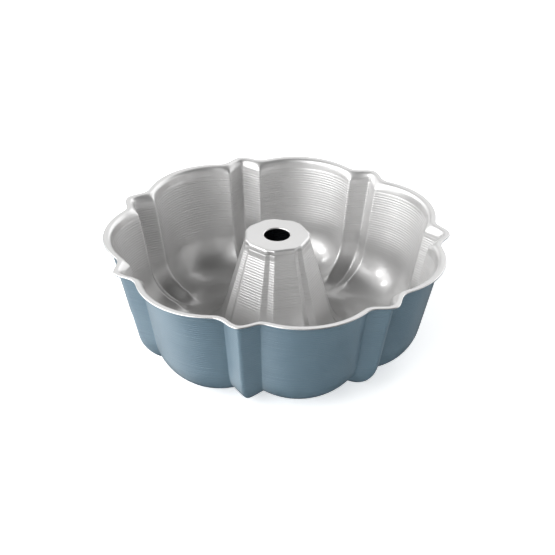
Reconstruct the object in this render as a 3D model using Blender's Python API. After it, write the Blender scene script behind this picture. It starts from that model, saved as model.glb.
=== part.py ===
"""Fluted tube cake pan, drawn from one aluminium sheet and coated on both faces.

Seven round lobes alternate with seven narrow ribs around a seven-sided centre tube.
The sheet and its two coatings are nested layers of one shape, each of them a closed solid.
Metres, +Z up. The origin is on the axis, in the plane that the pan stands on.
"""

from dataclasses import dataclass
from math import atan, cos, hypot, pi, radians, sin, sqrt, tan

import bmesh
import bpy

MM = 0.001

# Layers from the food side outwards. A thin gap keeps neighbouring solids apart.
RELEASE_COAT = 0.10 * MM
SHEET = 1.30 * MM
ENAMEL_COAT = 0.10 * MM
LAYER_GAP = 0.05 * MM
WALL = RELEASE_COAT + LAYER_GAP + SHEET + LAYER_GAP + ENAMEL_COAT

# Overall size, over the lip.
RIM_RADIUS = 131.0 * MM
HEIGHT = 89.0 * MM

# Flat lip and the bend below it, then a drafted wall and the round corner down to the floor.
LIP_FLAT = 3.8 * MM
LIP_BEND = 3.0 * MM
DRAFT = radians(12.0)
CORNER_RADIUS = 36.2 * MM
FOOT_RING_OUTER = 72.0 * MM

# Centre tube: its radius is that of a flat's middle, and it widens by its slope downwards.
TUBE_HEIGHT = 88.0 * MM
TUBE_TOP_RADIUS = 24.0 * MM
TUBE_SLOPE = 0.27
TUBE_LEAN = atan(TUBE_SLOPE)
TUBE_FILLET = 28.0 * MM
VENT_RADIUS = 9.9 * MM

# Plan outlines, as shares of their own largest radius and angles from a rib's middle.
FLUTES = 7
HALF_FLUTE = pi / FLUTES
FIRST_RIB = -pi / 2
RIB_SLOPE = 0.80
GROOVE_HALF_ANGLE = radians(7.5)
GROOVE_DEPTH = 0.058

# The flutes grow shallower down the wall, and die out before the foot ring.
FLUTE_DEPTH_AT_FLOOR = 0.84
FLUTE_DEPTH_AT_LIP = 1.0
FLUTE_FADE = 10.0 * MM

# Mesh columns in half a flute: a rib, its flank, the valley, and a lobe up to its middle.
# The one at 20.22 degrees holds the lip's widest point along X.
COLUMNS = [radians(angle) for angle in (0.0, 4.0, 7.5, 12.5, 20.22)] + [HALF_FLUTE]
CORNER_STEPS = 5
FILLET_STEPS = 3


@dataclass(frozen=True)
class Outline:
    """Plan outline of lobes and ribs."""

    lobe_centre: float
    rib_tip: float
    tip_rounding: float
    valley_rounding: float

    def radius(self, angle):
        """Share of the largest radius, at an angle from the nearest rib's middle."""
        from_lobe = HALF_FLUTE - angle
        lobe_radius = 1.0 - self.lobe_centre
        reach = sqrt(lobe_radius**2 - (self.lobe_centre * sin(from_lobe)) ** 2)
        lobe = self.lobe_centre * cos(from_lobe) + reach
        rib = self.rib_tip - RIB_SLOPE * hypot(angle, self.tip_rounding)
        return round_max(lobe, rib, self.valley_rounding)


LIP_OUTLINE = Outline(lobe_centre=0.573, rib_tip=1.0307, tip_rounding=0.0407, valley_rounding=0.0575)
WALL_OUTLINE = Outline(lobe_centre=0.596, rib_tip=1.005, tip_rounding=0.012, valley_rounding=0.022)


@dataclass(frozen=True)
class Ring:
    """One ring of the pan: its food-side point at a lobe's middle, and how it varies around."""

    r: float
    z: float
    outward: tuple  # through the wall, as (r, z)
    inset: tuple = (-1.0, 0.0)  # the way the flutes are pressed in
    flute_depth: float = 0.0
    outline: Outline = WALL_OUTLINE
    facet: float = 0.0  # 1 where the tube is seven-sided, 0 where it is round

    def point(self, angle, depth):
        """(r, z) at an angle from the nearest rib, at a depth through the wall."""
        pressed = self.flute_depth * self.r * (1.0 - self.outline.radius(angle))
        sides = 1.0 + self.facet * (seven_sides(angle) - 1.0)
        r = self.r + depth * self.outward[0] + pressed * self.inset[0]
        z = self.z + depth * self.outward[1] + pressed * self.inset[1]
        return r * sides, z


def round_max(a, b, rounding):
    """The larger of two values, with the corner between them rounded."""
    nearness = max(0.0, 1.0 - abs(a - b) / rounding)
    return max(a, b) + nearness**2 * rounding / 4.0


def smooth_step(low, high, value):
    """0 below low, 1 above high, with a smooth turn between them."""
    share = min(1.0, max(0.0, (value - low) / (high - low)))
    return share * share * (3.0 - 2.0 * share)


def seven_sides(angle):
    """The tube's radius as a share of a flat's, with a V groove in place of each corner."""
    if angle >= GROOVE_HALF_ANGLE:
        return 1.0 / cos(HALF_FLUTE - angle)
    groove_edge = cos(GROOVE_HALF_ANGLE) / cos(HALF_FLUTE - GROOVE_HALF_ANGLE)
    cut = GROOVE_DEPTH * (1.0 - angle / GROOVE_HALF_ANGLE)
    return (groove_edge - cut) / cos(angle)


def flute_depth(r, z):
    """Share of the flutes' full depth at a place on the wall or the corner."""
    height = smooth_step(0.1 * HEIGHT, 0.9 * HEIGHT, z)
    depth = FLUTE_DEPTH_AT_FLOOR + (FLUTE_DEPTH_AT_LIP - FLUTE_DEPTH_AT_FLOOR) * height
    return depth * smooth_step(FOOT_RING_OUTER, FOOT_RING_OUTER + FLUTE_FADE, r)


def around(centre, radius, angle):
    """A point on an arc in the (r, z) plane."""
    return centre[0] + radius * cos(angle), centre[1] + radius * sin(angle)


def lip_rings():
    """The flat lip, and the end of the bend that turns it down into the wall."""
    bend_centre = (RIM_RADIUS - LIP_FLAT, HEIGHT - LIP_BEND)
    wall_top = around(bend_centre, LIP_BEND, pi - DRAFT)
    down = (0.0, -1.0)
    return [
        Ring(RIM_RADIUS, HEIGHT, down, flute_depth=1.0, outline=LIP_OUTLINE),
        Ring(bend_centre[0], HEIGHT, down, flute_depth=1.0),
        Ring(*wall_top, (cos(DRAFT), -sin(DRAFT)), flute_depth=1.0),
    ]


def corner_rings(wall_top):
    """The round corner from the foot of the wall to the floor, with the flutes turning along."""
    centre_z = WALL + CORNER_RADIUS
    drop = wall_top.z - (centre_z - CORNER_RADIUS * sin(DRAFT))
    centre_r = wall_top.r - drop * tan(DRAFT) - CORNER_RADIUS * cos(DRAFT)
    rings = []
    for step in range(CORNER_STEPS + 1):
        share = step / CORNER_STEPS
        angle = -DRAFT - (pi / 2 - DRAFT) * share
        r, z = around((centre_r, centre_z), CORNER_RADIUS, angle)
        inset = (-cos(share * pi / 2), sin(share * pi / 2))
        rings.append(Ring(r, z, (cos(angle), sin(angle)), inset, flute_depth(r, z)))
    return rings


def tube_rings():
    """The foot ring's inner edge, the fillet up to the tube, the tube's flats and its top land."""
    radius_at_floor = TUBE_TOP_RADIUS + TUBE_SLOPE * (TUBE_HEIGHT - WALL)
    centre_r = radius_at_floor + TUBE_FILLET * (1.0 / cos(TUBE_LEAN) - TUBE_SLOPE)
    centre = (centre_r, WALL + TUBE_FILLET)
    rings = [Ring(FOOT_RING_OUTER, WALL, (0.0, -1.0))]
    for step in range(FILLET_STEPS + 1):
        share = step / FILLET_STEPS
        angle = -pi / 2 - (pi / 2 - TUBE_LEAN) * share
        outward = (cos(angle), sin(angle))
        rings.append(Ring(*around(centre, TUBE_FILLET, angle), outward, facet=share**2))
    mitre = (-cos(TUBE_LEAN) / (1.0 + sin(TUBE_LEAN)), -1.0)
    rings.append(Ring(TUBE_TOP_RADIUS, TUBE_HEIGHT, mitre, facet=1.0))
    rings.append(Ring(VENT_RADIUS, TUBE_HEIGHT, (0.0, -1.0)))
    return rings


def pan_rings():
    """Every ring, from the lip's edge to the edge of the vent hole."""
    lip = lip_rings()
    return lip + corner_rings(lip[-1]) + tube_rings()


def pan_columns():
    """(angle around the axis, angle from the nearest rib) of every mesh column."""
    half = len(COLUMNS) - 1
    columns = []
    for flute in range(FLUTES):
        rib = FIRST_RIB + 2 * flute * HALF_FLUTE
        columns += [(rib + angle, angle) for angle in COLUMNS[:half]]
        columns += [(rib + 2 * HALF_FLUTE - angle, angle) for angle in COLUMNS[:0:-1]]
    return columns


def skin_quads(ring_count, column_count):
    """Quads facing the food. Each will be split from its first corner to its third.

    The split is mirrored from one half of a flute to the other.
    """
    half = len(COLUMNS) - 1
    quads = []
    for ring in range(ring_count - 1):
        for column in range(column_count):
            here = ring * column_count + column
            beside = ring * column_count + (column + 1) % column_count
            quad = [here, beside, beside + column_count, here + column_count]
            if (column // half) % 2:
                quad = quad[1:] + quad[:1]
            quads.append(quad)
    return quads


def layer_mesh(name, depth, thickness):
    """A closed layer: a food-side skin, the same skin further out, and a band along both edges."""
    rings = pan_rings()
    columns = pan_columns()
    shell = bmesh.new()
    for skin_depth in (depth, depth + thickness):
        for ring in rings:
            for turn, angle in columns:
                r, z = ring.point(angle, skin_depth)
                shell.verts.new((r * cos(turn), r * sin(turn), z))
    shell.verts.ensure_lookup_table()

    count = len(columns)
    outer = len(rings) * count
    quads = skin_quads(len(rings), count)
    quads += [[corner + outer for corner in (a, d, c, b)] for a, b, c, d in quads]
    last = outer - count
    for column in range(count):
        beside = (column + 1) % count
        quads.append([column, column + outer, beside + outer, beside])
        quads.append([last + column, last + beside, last + beside + outer, last + column + outer])
    faces = [shell.faces.new([shell.verts[corner] for corner in quad]) for quad in quads]
    bmesh.ops.triangulate(shell, faces=faces, quad_method="FIXED")

    mesh = bpy.data.meshes.new(name)
    shell.to_mesh(mesh)
    shell.free()
    mesh.shade_smooth()
    mesh.set_sharp_from_angle(angle=radians(35.0))
    return mesh


def finish(name, colour, roughness, metallic):
    """A plain material for one layer."""
    material = bpy.data.materials.new(name)
    material.use_nodes = True
    shader = material.node_tree.nodes["Principled BSDF"]
    shader.inputs["Base Color"].default_value = (*colour, 1.0)
    shader.inputs["Roughness"].default_value = roughness
    shader.inputs["Metallic"].default_value = metallic
    return material


def add_layer(name, depth, thickness, material):
    """One layer of the pan's wall as an object."""
    layer = bpy.data.objects.new(name, layer_mesh(name, depth, thickness))
    layer.data.materials.append(material)
    bpy.context.scene.collection.objects.link(layer)
    return layer


def main():
    for thing in list(bpy.data.objects):
        bpy.data.objects.remove(thing)

    sheet_depth = RELEASE_COAT + LAYER_GAP
    enamel_depth = sheet_depth + SHEET + LAYER_GAP
    silver = finish("silver_release_finish", (0.60, 0.60, 0.60), 0.30, 0.9)
    bare = finish("bare_aluminium", (0.78, 0.78, 0.80), 0.35, 1.0)
    slate_blue = finish("slate_blue_enamel", (0.17, 0.27, 0.34), 0.35, 0.4)
    add_layer("interior_release_coat", 0.0, RELEASE_COAT, silver)
    add_layer("aluminium_body", sheet_depth, SHEET, bare)
    add_layer("exterior_enamel_coat", enamel_depth, ENAMEL_COAT, slate_blue)


main()
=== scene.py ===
"""Looks of the fluted tube cake pan: fine surfaces for its three layers, materials, studio and camera.

The food side is a surface of rings around the axis. Each layer lies between two such surfaces, moved
outwards through the wall along their normals. The far side of the wall has a smoother surface of its
own, because the food side's finest corners would fold over there. Metres, +Z up, a rib at -Y.
"""

from dataclasses import dataclass
from math import atan, cos, hypot, pi, radians, sin, sqrt, tan

import bpy
from mathutils import Matrix, Vector


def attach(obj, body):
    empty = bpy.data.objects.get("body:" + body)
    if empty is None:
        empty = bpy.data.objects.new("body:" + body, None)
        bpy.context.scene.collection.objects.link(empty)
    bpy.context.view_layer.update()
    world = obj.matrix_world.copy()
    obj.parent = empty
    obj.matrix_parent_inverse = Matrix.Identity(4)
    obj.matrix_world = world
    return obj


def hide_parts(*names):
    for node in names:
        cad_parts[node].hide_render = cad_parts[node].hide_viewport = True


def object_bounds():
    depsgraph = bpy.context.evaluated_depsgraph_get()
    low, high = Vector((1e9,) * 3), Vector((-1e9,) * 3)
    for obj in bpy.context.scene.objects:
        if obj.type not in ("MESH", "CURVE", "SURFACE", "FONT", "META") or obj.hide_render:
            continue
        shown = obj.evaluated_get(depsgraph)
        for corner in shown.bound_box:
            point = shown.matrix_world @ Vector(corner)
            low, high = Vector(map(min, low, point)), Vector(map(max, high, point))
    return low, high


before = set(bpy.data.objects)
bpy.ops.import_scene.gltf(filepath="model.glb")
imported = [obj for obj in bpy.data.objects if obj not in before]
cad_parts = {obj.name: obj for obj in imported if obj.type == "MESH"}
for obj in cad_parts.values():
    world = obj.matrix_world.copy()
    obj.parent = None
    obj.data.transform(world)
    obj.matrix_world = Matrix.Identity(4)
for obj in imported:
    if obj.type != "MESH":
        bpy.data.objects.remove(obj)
CAD_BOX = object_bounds()

MM = 0.001

# From the frame: the lip's edge at +Y is the middle of a lobe, and the pan stands on z = 0.
RIM_RADIUS = CAD_BOX[1].y
HEIGHT = CAD_BOX[1].z

# Layers, as depths below the food side.
RELEASE_COAT = (0.0, 0.10 * MM)
LAYER_GAP = 0.02 * MM
SHEET = (0.12 * MM, 1.48 * MM)
ENAMEL_COAT = (1.50 * MM, 1.60 * MM)
WALL = ENAMEL_COAT[1]

# The trimmed edges are rounded. At the lip the enamel wraps round the sheet's edge, nearly to its top.
EDGE_ROUND = 0.45 * MM
SHEET_EDGE_ROUND = 0.30 * MM
EDGE_STEPS = 6
WRAP_STEPS = 4

# Lip, the smooth band below it and the step that ends the band.
LIP_FLAT = 2.6 * MM
LIP_BEND = 3.6 * MM
LIP_FADE = 6.0 * MM
BAND_HEIGHT = 4.4 * MM
STEP_HEIGHT = 1.2 * MM
STEP_DEPTH = 0.16 * MM

# Outer wall and the round corner that turns it into the floor.
DRAFT = radians(12.0)
CORNER_RADIUS = 36.2 * MM
FOOT_RING_OUTER = 71.5 * MM

# Centre tube. Its radius is that of a flat's middle. The collar at its top is steeper than the rest.
TUBE_HEIGHT = HEIGHT - 1.0 * MM
TUBE_TOP_RADIUS = 22.6 * MM
TUBE_SLOPE = 0.27
TUBE_LEAN = atan(TUBE_SLOPE)
TUBE_FILLET = 28.0 * MM
TUBE_EDGE = 1.8 * MM
BACK_TUBE_EDGE = 3.6 * MM
FACET_START = 0.2  # share of the fillet where the tube's flats begin
COLLAR_HEIGHT = 8.6 * MM
COLLAR_SLOPE = 0.13
COLLAR_LEAN = atan(COLLAR_SLOPE)
COLLAR_ROUNDING = 0.15 * MM
COLLAR_LINE = 4.2 * MM
COLLAR_LINE_HEIGHT = 1.5 * MM
COLLAR_LINE_DEPTH = 0.22 * MM
VENT_RADIUS = 9.9 * MM

# Plan outlines, as shares of their own largest radius and angles from a rib's middle.
FLUTES = 7
HALF_FLUTE = pi / FLUTES
FIRST_RIB = -pi / 2
RIB_SLOPE = 0.80
GROOVE_HALF_ANGLE = radians(7.9)
GROOVE_DEPTH = 0.058
GROOVE_BOTTOM = 0.12  # softness of the groove's bottom, as a share of its half angle
GROOVE_ROUNDING = 0.020
BACK_GROOVE_ROUNDING = 0.045
GROOVE_FADE = 4.5 * MM

# The flutes grow shallower down the wall, and die out before the foot ring.
FLUTE_DEPTH_AT_FLOOR = 0.84
FLUTE_DEPTH_AT_LIP = 1.0
FLUTE_FADE = 16.0 * MM
FLUTE_GROWTH = (0.1 * HEIGHT, 0.9 * HEIGHT)

# Rings in each stretch of the profile.
LIP_FLAT_RINGS = 4
LIP_BEND_RINGS = 8
BAND_RINGS = 4
STEP_RINGS = 5
WALL_RINGS = 12
CORNER_RINGS = 26
FILLET_RINGS = 14
TUBE_RINGS = 8
COLLAR_RINGS = 22
TUBE_EDGE_RINGS = 6
LAND_RINGS = 5

# Columns in half a flute, as (end angle, count): tip, flank, valley, groove edge, and the lobe in two.
COLUMN_STRETCHES = ((1.2, 4), (5.6, 4), (7.1, 7), (8.6, 4), (16.0, 5), (180.0 / FLUTES, 5))


# ---------------------------------------------------------------- shape


def round_max(a, b, rounding):
    """The larger of two values, with the corner between them rounded."""
    nearness = max(0.0, 1.0 - abs(a - b) / rounding)
    return max(a, b) + nearness**2 * rounding / 4.0


def smooth_step(low, high, value):
    """0 below low, 1 above high, with a smooth turn between them."""
    share = min(1.0, max(0.0, (value - low) / (high - low)))
    return share * share * (3.0 - 2.0 * share)


@dataclass(frozen=True)
class Outline:
    """Plan outline of lobes and ribs."""

    lobe_centre: float
    rib_tip: float
    tip_rounding: float
    valley_rounding: float

    def radius(self, angle):
        """Share of the largest radius, at an angle from the nearest rib's middle."""
        from_lobe = HALF_FLUTE - angle
        lobe_radius = 1.0 - self.lobe_centre
        reach = sqrt(lobe_radius**2 - (self.lobe_centre * sin(from_lobe)) ** 2)
        lobe = self.lobe_centre * cos(from_lobe) + reach
        rib = self.rib_tip - RIB_SLOPE * hypot(angle, self.tip_rounding)
        return round_max(lobe, rib, self.valley_rounding)


LIP_OUTLINE = Outline(lobe_centre=0.573, rib_tip=1.0307, tip_rounding=0.0407, valley_rounding=0.0575)
WALL_OUTLINE = Outline(lobe_centre=0.596, rib_tip=1.002, tip_rounding=0.006, valley_rounding=0.0165)


@dataclass(frozen=True)
class Relief:
    """The fine relief of one side of the wall."""

    wall_step: float
    collar_line: float
    tube_edge: float
    groove_rounding: float


FOOD_RELIEF = Relief(STEP_DEPTH, COLLAR_LINE_DEPTH, TUBE_EDGE, GROOVE_ROUNDING)
BACK_RELIEF = Relief(0.0, 0.0, BACK_TUBE_EDGE, BACK_GROOVE_ROUNDING)

SHARP_ANGLE = radians(50.0)


def tube_outline(angle, groove, rounding):
    """The tube's radius as a share of a flat's middle, with a soft V groove or a chamfer at each corner."""
    flat = 1.0 / cos(HALF_FLUTE - angle)
    groove_edge = cos(GROOVE_HALF_ANGLE) / cos(HALF_FLUTE - GROOVE_HALF_ANGLE)
    inward = hypot(angle / GROOVE_HALF_ANGLE, GROOVE_BOTTOM)
    flank = (groove_edge - groove * GROOVE_DEPTH * (1.0 - inward)) / cos(angle)
    return -round_max(-flat, -flank, rounding)


@dataclass(frozen=True)
class Ring:
    """One ring of the food side: its point at a lobe's middle, and how it varies around."""

    r: float
    z: float
    inset: tuple = (-1.0, 0.0)  # the way the flutes are pressed in
    flute_depth: float = 0.0
    lip: float = 0.0  # share of the lip's outline in place of the wall's
    facet: float = 0.0  # 1 where the tube is seven-sided, 0 where it is round
    groove: float = 1.0  # share of the grooves' depth in the tube's corners

    def point(self, angle, relief):
        """(r, z) at an angle from the nearest rib."""
        wall = 1.0 - WALL_OUTLINE.radius(angle)
        lip = 1.0 - LIP_OUTLINE.radius(angle)
        pressed = self.flute_depth * self.r * (wall + self.lip * (lip - wall))
        sides = 1.0 + self.facet * (tube_outline(angle, self.groove, relief.groove_rounding) - 1.0)
        return (self.r + pressed * self.inset[0]) * sides, self.z + pressed * self.inset[1]


def flute_depth(r, z):
    """Share of the flutes' full depth at a place on the wall or the corner."""
    height = smooth_step(*FLUTE_GROWTH, z)
    depth = FLUTE_DEPTH_AT_FLOOR + (FLUTE_DEPTH_AT_LIP - FLUTE_DEPTH_AT_FLOOR) * height
    return depth * smooth_step(FOOT_RING_OUTER, FOOT_RING_OUTER + FLUTE_FADE, r)


def lip_share(z):
    """Share of the lip's rounder outline that is left at a height below the lip."""
    return smooth_step(0.0, 1.0, (z - (HEIGHT - LIP_FADE)) / LIP_FADE)


def around(centre, radius, angle):
    """A point on an arc in the (r, z) plane."""
    return centre[0] + radius * cos(angle), centre[1] + radius * sin(angle)


def shares(steps):
    """Even shares from 0 to 1, without the 0."""
    return [(step + 1) / steps for step in range(steps)]


def lip_rings():
    """The flat lip and its bend down to the wall's top."""
    edge = RIM_RADIUS - EDGE_ROUND
    bend_centre = (RIM_RADIUS - LIP_FLAT, HEIGHT - LIP_BEND)
    rings = [Ring(edge, HEIGHT, flute_depth=1.0, lip=1.0)]
    for share in shares(LIP_FLAT_RINGS):
        r = edge + (bend_centre[0] - edge) * share
        rings.append(Ring(r, HEIGHT, flute_depth=1.0, lip=1.0))
    for share in shares(LIP_BEND_RINGS):
        angle = pi / 2 + (pi / 2 - DRAFT) * share
        r, z = around(bend_centre, LIP_BEND, angle)
        rings.append(Ring(r, z, flute_depth=1.0, lip=lip_share(z)))
    return rings


def wall_rings(wall_top, corner_top, relief):
    """The smooth band, its step inwards, and the drafted wall down to the corner."""
    step_top = wall_top.z - BAND_HEIGHT
    rings = []
    heights = [wall_top.z - BAND_HEIGHT * share for share in shares(BAND_RINGS)]
    heights += [step_top - STEP_HEIGHT * share for share in shares(STEP_RINGS)]
    lowest = heights[-1]
    heights += [lowest + (corner_top[1] - lowest) * share for share in shares(WALL_RINGS)][:-1]
    for z in heights:
        line = wall_top.r - (wall_top.z - z) * tan(DRAFT)
        step = relief.wall_step * smooth_step(0.0, STEP_HEIGHT, step_top - z)
        step *= smooth_step(corner_top[1], step_top - STEP_HEIGHT, z)
        depth = flute_depth(line, z)
        rings.append(Ring(line - step, z, flute_depth=depth, lip=lip_share(z)))
    return rings


def corner_rings(centre):
    """The round corner from the foot of the wall to the floor, with the flutes turning along."""
    rings = []
    for share in [0.0] + shares(CORNER_RINGS):
        r, z = around(centre, CORNER_RADIUS, -DRAFT - (pi / 2 - DRAFT) * share)
        inset = (-cos(share * pi / 2), sin(share * pi / 2))
        rings.append(Ring(r, z, inset, flute_depth(r, z)))
    return rings


def tube_rings(relief):
    """The foot ring's inner edge, the fillet up to the tube, its collar, top land and vent."""
    radius_at_floor = TUBE_TOP_RADIUS + TUBE_SLOPE * (TUBE_HEIGHT - WALL)
    centre_r = radius_at_floor + TUBE_FILLET * (1.0 / cos(TUBE_LEAN) - TUBE_SLOPE)
    centre = (centre_r, WALL + TUBE_FILLET)
    rings = [Ring(FOOT_RING_OUTER, WALL)]
    for share in [0.0] + shares(FILLET_RINGS):
        angle = -pi / 2 - (pi / 2 - TUBE_LEAN) * share
        facet = smooth_step(FACET_START, 1.0, share)
        rings.append(Ring(*around(centre, TUBE_FILLET, angle), facet=facet))

    edge_drop = relief.tube_edge * (1.0 - sin(COLLAR_LEAN))
    edge_z = TUBE_HEIGHT - edge_drop
    low = rings[-1].z
    collar_bottom = TUBE_HEIGHT - COLLAR_HEIGHT - COLLAR_LINE_HEIGHT
    heights = [low + (collar_bottom - low) * share for share in shares(TUBE_RINGS)]
    heights += [collar_bottom + (edge_z - collar_bottom) * share for share in shares(COLLAR_RINGS)]
    for z in heights:
        groove = smooth_step(0.0, GROOVE_FADE, TUBE_HEIGHT - z)
        rings.append(Ring(tube_radius(z, relief), z, facet=1.0, groove=groove))

    edge_centre = (rings[-1].r - relief.tube_edge * cos(COLLAR_LEAN), TUBE_HEIGHT - relief.tube_edge)
    for share in shares(TUBE_EDGE_RINGS):
        angle = COLLAR_LEAN + (pi / 2 - COLLAR_LEAN) * share
        r, z = around(edge_centre, relief.tube_edge, angle)
        groove = smooth_step(0.0, GROOVE_FADE, TUBE_HEIGHT - z)
        rings.append(Ring(r, z, facet=1.0, groove=groove))
    land = rings[-1].r
    vent = VENT_RADIUS + EDGE_ROUND
    for share in shares(LAND_RINGS):
        r = land + (vent - land) * share
        rings.append(Ring(r, TUBE_HEIGHT, facet=1.0 - share, groove=0.0))
    return rings


def tube_radius(z, relief):
    """Radius of a flat's middle at a height, with the collar and the fine line across it."""
    depth = TUBE_HEIGHT - z
    collar = TUBE_TOP_RADIUS + TUBE_SLOPE * COLLAR_HEIGHT + COLLAR_SLOPE * (depth - COLLAR_HEIGHT)
    radius = round_max(collar, TUBE_TOP_RADIUS + TUBE_SLOPE * depth, COLLAR_ROUNDING)
    line = 2.0 * abs(depth - COLLAR_LINE) / COLLAR_LINE_HEIGHT
    return radius - relief.collar_line * (1.0 - smooth_step(0.0, 1.0, line))


def all_rings(relief):
    """Every ring, from the lip's edge to the edge of the vent hole."""
    lip = lip_rings()
    corner_top_z = WALL + CORNER_RADIUS * (1.0 - sin(DRAFT))
    corner_top_r = lip[-1].r - (lip[-1].z - corner_top_z) * tan(DRAFT)
    corner_centre = (corner_top_r - CORNER_RADIUS * cos(DRAFT), WALL + CORNER_RADIUS)
    wall = wall_rings(lip[-1], (corner_top_r, corner_top_z), relief)
    return lip + wall + corner_rings(corner_centre) + tube_rings(relief)


def columns():
    """(angle around the axis, angle from the nearest rib) of every mesh column."""
    half = [0.0]
    for end, count in COLUMN_STRETCHES:
        start = half[-1]
        half += [start + (radians(end) - start) * share for share in shares(count)]
    around_axis = []
    for flute in range(FLUTES):
        rib = FIRST_RIB + 2 * flute * HALF_FLUTE
        around_axis += [(rib + angle, angle) for angle in half[:-1]]
        around_axis += [(rib + 2 * HALF_FLUTE - angle, angle) for angle in half[:0:-1]]
    return around_axis


def grid_quads(rings, columns, closed):
    """Faces between neighbouring rings of points. A closed grid also joins the last ring to the first."""
    quads = []
    for ring in range(rings if closed else rings - 1):
        here, after = ring * columns, (ring + 1) % rings * columns
        for column in range(columns):
            beside = (column + 1) % columns
            quads.append((here + column, here + beside, after + beside, after + column))
    return quads


def food_side(relief):
    """Points of the food side and the unit normals on it that point to the food, ring by ring."""
    rings = all_rings(relief)
    turns = columns()
    count = len(turns)
    points = []
    for ring in rings:
        for turn, angle in turns:
            r, z = ring.point(angle, relief)
            points.append((r * cos(turn), r * sin(turn), z))
    skin = bpy.data.meshes.new("food_side")
    skin.from_pydata(points, [], grid_quads(len(rings), count, closed=False))
    normals = [Vector(corner.vector) for corner in skin.vertex_normals]
    bpy.data.meshes.remove(skin)
    split = range(0, len(points), count)
    points = [Vector(point) for point in points]
    return [points[i : i + count] for i in split], [normals[i : i + count] for i in split]


def bulge(lower, upper, outwards, steps=EDGE_STEPS):
    """Loops round a trimmed edge, from one side of a layer towards the other, bulging outwards.

    The half circle has EDGE_STEPS steps. With fewer steps, the loops stop part of the way round.
    """
    loops = []
    for step in range(1, steps):
        angle = pi * step / EDGE_STEPS
        loop = []
        for start, end in zip(lower, upper):
            middle = (start + end) / 2
            level = Vector((middle.x, middle.y, 0.0)).normalized()
            loop.append(middle + (start - end) / 2 * cos(angle) + level * outwards * sin(angle))
        loops.append(loop)
    return loops


def below(skin, depth):
    """The loops of a skin, moved by a depth away from the food."""
    return [[point - normal * depth for point, normal in zip(*rows)] for rows in zip(*skin)]


def layer_object(name, food, outside, top, edge):
    """A closed layer between two sets of loops.

    A "plain" edge is square, and a "round" one bulges at the vent and the lip. At a "wrap" edge the
    layer also runs up round the lip to the top, which is the lip's edge on the food side.
    """
    vent_band, lip_band = [], []
    if edge == "round":
        vent_band = bulge(food[-1], outside[-1], -EDGE_ROUND)
        lip_band = bulge(outside[0], food[0], SHEET_EDGE_ROUND)
    elif edge == "wrap":
        lip_band = bulge(outside[0], top, EDGE_ROUND, WRAP_STEPS)
        lip_band += bulge(food[0], top, SHEET_EDGE_ROUND + 2 * LAYER_GAP, WRAP_STEPS)[::-1]
    loops = food + vent_band + outside[::-1] + lip_band

    mesh = bpy.data.meshes.new(name)
    points = [point for loop in loops for point in loop]
    mesh.from_pydata(points, [], grid_quads(len(loops), len(loops[0]), closed=True))
    mesh.shade_smooth()
    mesh.set_sharp_from_angle(angle=SHARP_ANGLE)
    layer = bpy.data.objects.new(name, mesh)
    bpy.context.scene.collection.objects.link(layer)
    return layer


# ---------------------------------------------------------------- materials


# Looks that both coats share.
CLOUD_EDGES = (0.3, 0.7)
RING_WANDER = 0.3  # share of the rings' pitch
FINE_PITCH = 0.37  # share of the rings' pitch
FINE_STRENGTH = 0.5

# Silver release coat. Each pair of heights or radii is where a look starts and where it is full.
SILVER_DARK = (0.60, 0.597, 0.594, 1.0)
SILVER_LIGHT = (0.65, 0.647, 0.644, 1.0)
# Painted shade: the silver's colour darkens towards the bowls' floors, where the pan is shaded.
SILVER_PAINTED_BOWL_SHADE = (0.38, 0.377, 0.374, 1.0)
SILVER_RING_PITCH = 2.0 * MM
SILVER_BUMP = 0.078 * MM
SILVER_ROUGHNESS = 0.36
SILVER_METALLIC = 0.72
ABOVE_BOWL = (25 * MM, 50 * MM)
BOWL_SHADE_HEIGHTS = (34 * MM, 8 * MM)
BELOW_WALL_BAND = (HEIGHT - 8.9 * MM, HEIGHT - 9.6 * MM)
BELOW_COLLAR = (TUBE_HEIGHT - 8.8 * MM, TUBE_HEIGHT - 9.3 * MM)
ON_TUBE = (62 * MM, 60 * MM)

# Bare aluminium at the trimmed edges.
ALUMINIUM_DARK = (0.80, 0.79, 0.78, 1.0)
ALUMINIUM_LIGHT = (0.90, 0.89, 0.88, 1.0)
ALUMINIUM_BUMP = 0.02 * MM

# Slate-blue enamel.
BLUE_DARK = (0.148, 0.226, 0.284, 1.0)
BLUE_LIGHT = (0.168, 0.250, 0.309, 1.0)
# Painted shade: the enamel goes nearly black inside the tube, where little light reaches.
BLUE_PAINTED_TUBE_SHADE = (0.010, 0.013, 0.016, 1.0)
BLUE_RING_PITCH = 1.9 * MM
BLUE_BUMP = 0.11 * MM
ON_WALL = (8 * MM, 30 * MM)
TUBE_SHADE_RADII = (46 * MM, 36 * MM)


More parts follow.
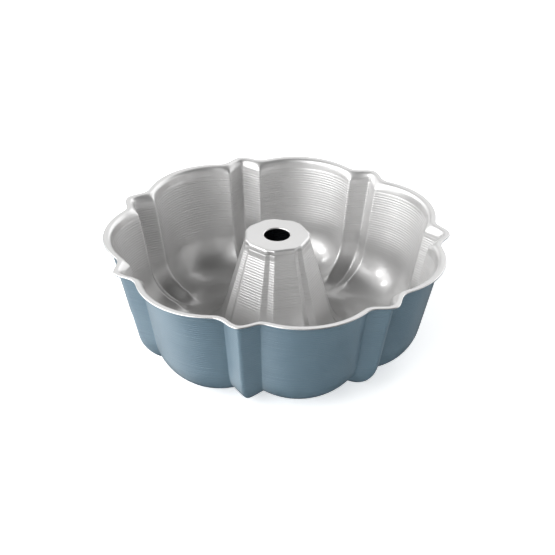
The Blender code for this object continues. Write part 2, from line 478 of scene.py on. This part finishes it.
class Nodes:
    """Short ways to add and join shader nodes in one tree."""

    def __init__(self, tree):
        self.tree = tree

    def fill(self, node, inputs):
        """Link each input that is given a socket, and set the others to their value."""
        for key, value in inputs.items():
            if isinstance(value, bpy.types.NodeSocket):
                self.tree.links.new(value, node.inputs[key])
            else:
                node.inputs[key].default_value = value

    def add(self, kind, inputs=None, **settings):
        node = self.tree.nodes.new(kind)
        for key, value in settings.items():
            setattr(node, key, value)
        self.fill(node, inputs or {})
        return node

    def math(self, operation, *values):
        return self.add("ShaderNodeMath", dict(enumerate(values)), operation=operation).outputs[0]

    def scaled(self, value, factor):
        return self.math("MULTIPLY", value, factor)

    def ramp(self, value, low, high):
        """0 at low, 1 at high, smooth between them."""
        node = self.add("ShaderNodeMapRange", {0: value, 1: low, 2: high}, interpolation_type="SMOOTHSTEP")
        return node.outputs[0]

    def mix(self, share, a, b):
        return self.add("ShaderNodeMix", {0: share, 6: a, 7: b}, data_type="RGBA").outputs[2]

    def noise(self, place, scale, detail):
        inputs = {"Vector": place, "Scale": scale, "Detail": detail}
        return self.add("ShaderNodeTexNoise", inputs).outputs[0]

    def bump(self, distance, height):
        inputs = {"Strength": 1.0, "Distance": distance, "Height": height}
        return self.add("ShaderNodeBump", inputs).outputs[0]

    def place(self):
        """The place on the object, with its height and its distance from the axis."""
        place = self.add("ShaderNodeTexCoord").outputs["Object"]
        x, y, height = self.add("ShaderNodeSeparateXYZ", {0: place}).outputs
        squares = [self.math("POWER", across, 2.0) for across in (x, y)]
        return place, height, self.math("SQRT", self.math("ADD", *squares))


def new_material(name):
    """An empty node material, its node helper and its principled shader."""
    material = bpy.data.materials.new(name)
    material.use_nodes = True
    return material, Nodes(material.node_tree), material.node_tree.nodes["Principled BSDF"]


def turned_rings(nodes, pitch, place, height):
    """Relief of the fine rings that drawing and turning leave around the axis, uneven in strength."""
    wander = nodes.noise(place, 14.0, 1.0)
    shifted = nodes.math("ADD", height, nodes.scaled(wander, RING_WANDER * pitch))
    wave = nodes.math("SINE", nodes.scaled(shifted, 2 * pi / pitch))
    fine = nodes.math("SINE", nodes.scaled(shifted, 2 * pi / (FINE_PITCH * pitch)))
    both = nodes.math("ADD", wave, nodes.scaled(fine, FINE_STRENGTH))
    inputs = {"W": height, "Scale": 420.0, "Detail": 2.0}
    uneven = nodes.add("ShaderNodeTexNoise", inputs, noise_dimensions="1D").outputs[0]
    strength = nodes.math("ADD", 0.35, nodes.scaled(uneven, 1.1))
    return nodes.math("MULTIPLY", both, strength)


def silver_release_coat():
    """Silver non-stick coating: satin over turned rings on the walls, with painted shade darkening it in
    the bowls.
    """
    material, nodes, shader = new_material("silver_release_coat")
    place, height, radius = nodes.place()
    off_tube = nodes.math("SUBTRACT", 1.0, nodes.ramp(radius, *ON_TUBE))
    below_collar = nodes.math("MAXIMUM", nodes.ramp(height, *BELOW_COLLAR), off_tube)
    below_top = nodes.math("MINIMUM", nodes.ramp(height, *BELOW_WALL_BAND), below_collar)
    ringed = nodes.math("MULTIPLY", nodes.ramp(height, *ABOVE_BOWL), below_top)
    # Painted shade: this mask darkens the colour, and lowers the metallic, down into the bowls.
    painted_bowl_shade = nodes.ramp(height, *BOWL_SHADE_HEIGHTS)

    rings = turned_rings(nodes, SILVER_RING_PITCH, place, height)
    grain = nodes.noise(place, 2600.0, 2.0)
    relief = nodes.math("ADD", nodes.math("MULTIPLY", rings, ringed), nodes.scaled(grain, 0.25))
    bump = nodes.bump(SILVER_BUMP, relief)

    clouds = nodes.noise(place, 22.0, 4.0)
    tint = nodes.mix(nodes.ramp(clouds, *CLOUD_EDGES), SILVER_DARK, SILVER_LIGHT)
    rough = nodes.math("ADD", SILVER_ROUGHNESS, nodes.scaled(ringed, 0.06))
    metallic = nodes.math("SUBTRACT", SILVER_METALLIC, nodes.scaled(ringed, 0.20))
    nodes.fill(shader, {
        # painted shade: the base colour darkens down into the bowls
        "Base Color": nodes.mix(painted_bowl_shade, tint, SILVER_PAINTED_BOWL_SHADE),
        "Roughness": nodes.math("ADD", rough, nodes.scaled(clouds, 0.06)),
        "Metallic": nodes.math("SUBTRACT", metallic, nodes.scaled(painted_bowl_shade, 0.22)),
        "Normal": bump,
        "Coat Normal": bump,
        "Coat Weight": 0.8,
        "Coat Roughness": 0.10,
        "Coat IOR": 1.8,
    })
    return material


def bare_aluminium():
    """Trimmed edges of the sheet."""
    material, nodes, shader = new_material("bare_aluminium")
    place = nodes.add("ShaderNodeTexCoord").outputs["Object"]
    grain = nodes.noise(place, 900.0, 3.0)
    nodes.fill(shader, {
        "Base Color": nodes.mix(grain, ALUMINIUM_DARK, ALUMINIUM_LIGHT),
        "Roughness": nodes.math("ADD", 0.28, nodes.scaled(grain, 0.12)),
        "Normal": nodes.bump(ALUMINIUM_BUMP, grain),
        "Metallic": 1.0,
    })
    return material


def slate_blue_enamel():
    """Slate-blue baked enamel, satin, over faint turned rings. Painted shade makes it nearly black inside
    the tube.
    """
    material, nodes, shader = new_material("slate_blue_enamel")
    place, height, radius = nodes.place()
    rings = nodes.math("MULTIPLY", turned_rings(nodes, BLUE_RING_PITCH, place, height),
                       nodes.ramp(height, *ON_WALL))
    grain = nodes.noise(place, 2200.0, 2.0)
    bump = nodes.bump(BLUE_BUMP, nodes.math("ADD", rings, nodes.scaled(grain, 0.5)))
    clouds = nodes.noise(place, 30.0, 5.0)
    tint = nodes.mix(nodes.ramp(clouds, *CLOUD_EDGES), BLUE_DARK, BLUE_LIGHT)
    nodes.fill(shader, {
        # painted shade: nearly black inside the tube
        "Base Color": nodes.mix(nodes.ramp(radius, *TUBE_SHADE_RADII), tint, BLUE_PAINTED_TUBE_SHADE),
        "Roughness": nodes.math("ADD", 0.33, nodes.scaled(clouds, 0.10)),
        "Normal": bump,
        "Coat Normal": bump,
        "Coat Weight": 0.8,
        "Coat Roughness": 0.14,
        "Metallic": 0.35,
    })
    return material


# ---------------------------------------------------------------- the pan


def add_pan():
    """The three layers, each standing for its CAD node."""
    skin = food_side(FOOD_RELIEF)
    back = food_side(BACK_RELIEF)
    layers = (
        ("release_coat", "interior_release_coat", silver_release_coat, (skin, skin), RELEASE_COAT, "plain"),
        ("drawn_sheet", "aluminium_body", bare_aluminium, (skin, back), SHEET, "round"),
        ("enamel_coat", "exterior_enamel_coat", slate_blue_enamel, (back, back), ENAMEL_COAT, "wrap"),
    )
    for name, node, finish, skins, depths, edge in layers:
        food, outside = (below(*pair) for pair in zip(skins, depths))
        layer = layer_object(name, food, outside, skin[0][0], edge)
        layer.data.materials.append(finish())
        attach(layer, "root")
        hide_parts(node)


# ---------------------------------------------------------------- studio


WHITE = (1.0, 1.0, 1.0, 1.0)
FLOOR_COLOUR = (0.93, 0.93, 0.93, 1.0)
FLOOR_GLOW = 0.53
FLOOR_HALF_WIDTH = 6.0
FLOOR_DROP = 0.05 * MM


def add_floor():
    """Plain pale floor. The pan's gloss doesn't mirror it."""
    mesh = bpy.data.meshes.new("floor")
    half = FLOOR_HALF_WIDTH
    corners = [(-half, -half, 0.0), (half, -half, 0.0), (half, half, 0.0), (-half, half, 0.0)]
    mesh.from_pydata(corners, [], [(0, 1, 2, 3)])
    floor = bpy.data.objects.new("floor", mesh)
    floor.location.z = -FLOOR_DROP
    floor.visible_glossy = False
    bpy.context.scene.collection.objects.link(floor)
    material, nodes, shader = new_material("floor_white")
    nodes.fill(shader, {
        "Base Color": FLOOR_COLOUR,
        "Roughness": 0.9,
        "Specular IOR Level": 0.0,
        "Emission Color": WHITE,
        "Emission Strength": FLOOR_GLOW,
    })
    mesh.materials.append(material)


# Soft pale patches around the studio: azimuth, elevation and half-width in degrees, and strength.
SOFT_PATCHES = (
    (-144.0, 12.0, 27.0, 0.17),
    (-108.0, 12.0, 27.0, 1.00),
    (-72.0, 12.0, 27.0, 2.00),
    (-36.0, 12.0, 27.0, 2.45),
    (0.0, 12.0, 27.0, 0.35),
    (36.0, 12.0, 27.0, 0.10),
    (72.0, 12.0, 27.0, 0.35),
    (108.0, 12.0, 27.0, 0.95),
    (144.0, 12.0, 27.0, 1.35),
    (180.0, 12.0, 27.0, 0.23),
    (-140.0, 38.0, 28.0, 0.30),
    (-100.0, 38.0, 28.0, 0.45),
    (-60.0, 38.0, 28.0, 0.97),
    (-20.0, 38.0, 28.0, 0.96),
    (140.0, 38.0, 28.0, 0.35),
    (180.0, 36.0, 28.0, 0.78),
    (180.0, 68.0, 24.0, 0.30),
    (-95.0, -38.0, 28.0, 1.25),
    (130.0, -25.0, 18.0, 0.65),
)
PATCH_EDGE = 1.35  # where a patch ends, as a share of its half-width
PATCH_CORE = 0.35  # where it is at full strength

# Soft boxes around the pan: azimuth and elevation in degrees, width and height, and power.
SOFT_BOXES = (
    (-94.0, 38.0, 0.26, 0.34, 2.5),
    (-64.0, 35.0, 0.26, 0.34, 2.5),
    (-25.0, 45.0, 0.8, 0.6, 2.4),
    (150.0, 45.0, 0.8, 0.5, 1.5),
)
SOFT_BOX_DISTANCE = 1.6


def toward(azimuth, elevation):
    """Unit vector towards a direction in degrees. Azimuth 0 is at -Y, and 90 at +X."""
    a, e = radians(azimuth), radians(elevation)
    return Vector((sin(a) * cos(e), -cos(a) * cos(e), sin(e)))


def add_world():
    """A dark studio with soft pale patches, as large diffusers give."""
    world = bpy.data.worlds.new("studio")
    bpy.context.scene.world = world
    world.use_nodes = True
    nodes = Nodes(world.node_tree)
    direction = nodes.add("ShaderNodeTexCoord").outputs["Generated"]
    glow = 0.0
    for azimuth, elevation, half_width, strength in SOFT_PATCHES:
        middle = toward(azimuth, elevation)
        dot = nodes.add("ShaderNodeVectorMath", {0: direction, 1: middle}, operation="DOT_PRODUCT")
        edge, core = cos(radians(PATCH_EDGE * half_width)), cos(radians(PATCH_CORE * half_width))
        patch = nodes.ramp(dot.outputs["Value"], edge, core)
        glow = nodes.math("ADD", glow, nodes.scaled(patch, strength))
    nodes.fill(world.node_tree.nodes["Background"], {"Strength": glow, "Color": WHITE})


def add_soft_boxes():
    """Area lights that face the pan's middle."""
    middle = Vector((0.0, 0.0, HEIGHT / 2))
    for number, (azimuth, elevation, width, height, power) in enumerate(SOFT_BOXES):
        light = bpy.data.lights.new(f"soft_box_{number}", "AREA")
        light.shape = "RECTANGLE"
        light.size = width
        light.size_y = height
        light.energy = power
        lamp = bpy.data.objects.new(light.name, light)
        out = toward(azimuth, elevation)
        lamp.location = middle + out * SOFT_BOX_DISTANCE
        lamp.rotation_euler = (-out).to_track_quat("-Z", "Y").to_euler()
        bpy.context.scene.collection.objects.link(lamp)


CAMERA_AZIMUTH = 11.82
CAMERA_ELEVATION = 31.93
CAMERA_ROLL = radians(0.433)
CAMERA_DISTANCE = 0.97148
CAMERA_SHIFT = Vector((-0.00034, 0.03346, 0.0))
LENS = 83.58
SENSOR = 36.0
CLIP_END = 50.0


def add_camera():
    """The photograph's viewpoint: the middle of the lip's plane lies a little above the view's centre."""
    back = toward(CAMERA_AZIMUTH, CAMERA_ELEVATION)
    level = (-back).to_track_quat("-Z", "Y").to_matrix()
    turned = level @ Matrix.Rotation(CAMERA_ROLL, 3, "Z")
    camera = bpy.data.objects.new("camera", bpy.data.cameras.new("camera"))
    camera.data.lens = LENS
    camera.data.sensor_width = SENSOR
    camera.data.clip_end = CLIP_END
    camera.rotation_euler = turned.to_euler()
    camera.location = Vector((0.0, 0.0, HEIGHT)) + back * CAMERA_DISTANCE - turned @ CAMERA_SHIFT
    bpy.context.scene.collection.objects.link(camera)
    bpy.context.scene.camera = camera


def add_studio():
    """Floor, surroundings and lights, with colours shown as they are."""
    add_floor()
    add_world()
    add_soft_boxes()
    bpy.context.scene.view_settings.view_transform = "Standard"


add_pan()
add_camera()
add_studio()
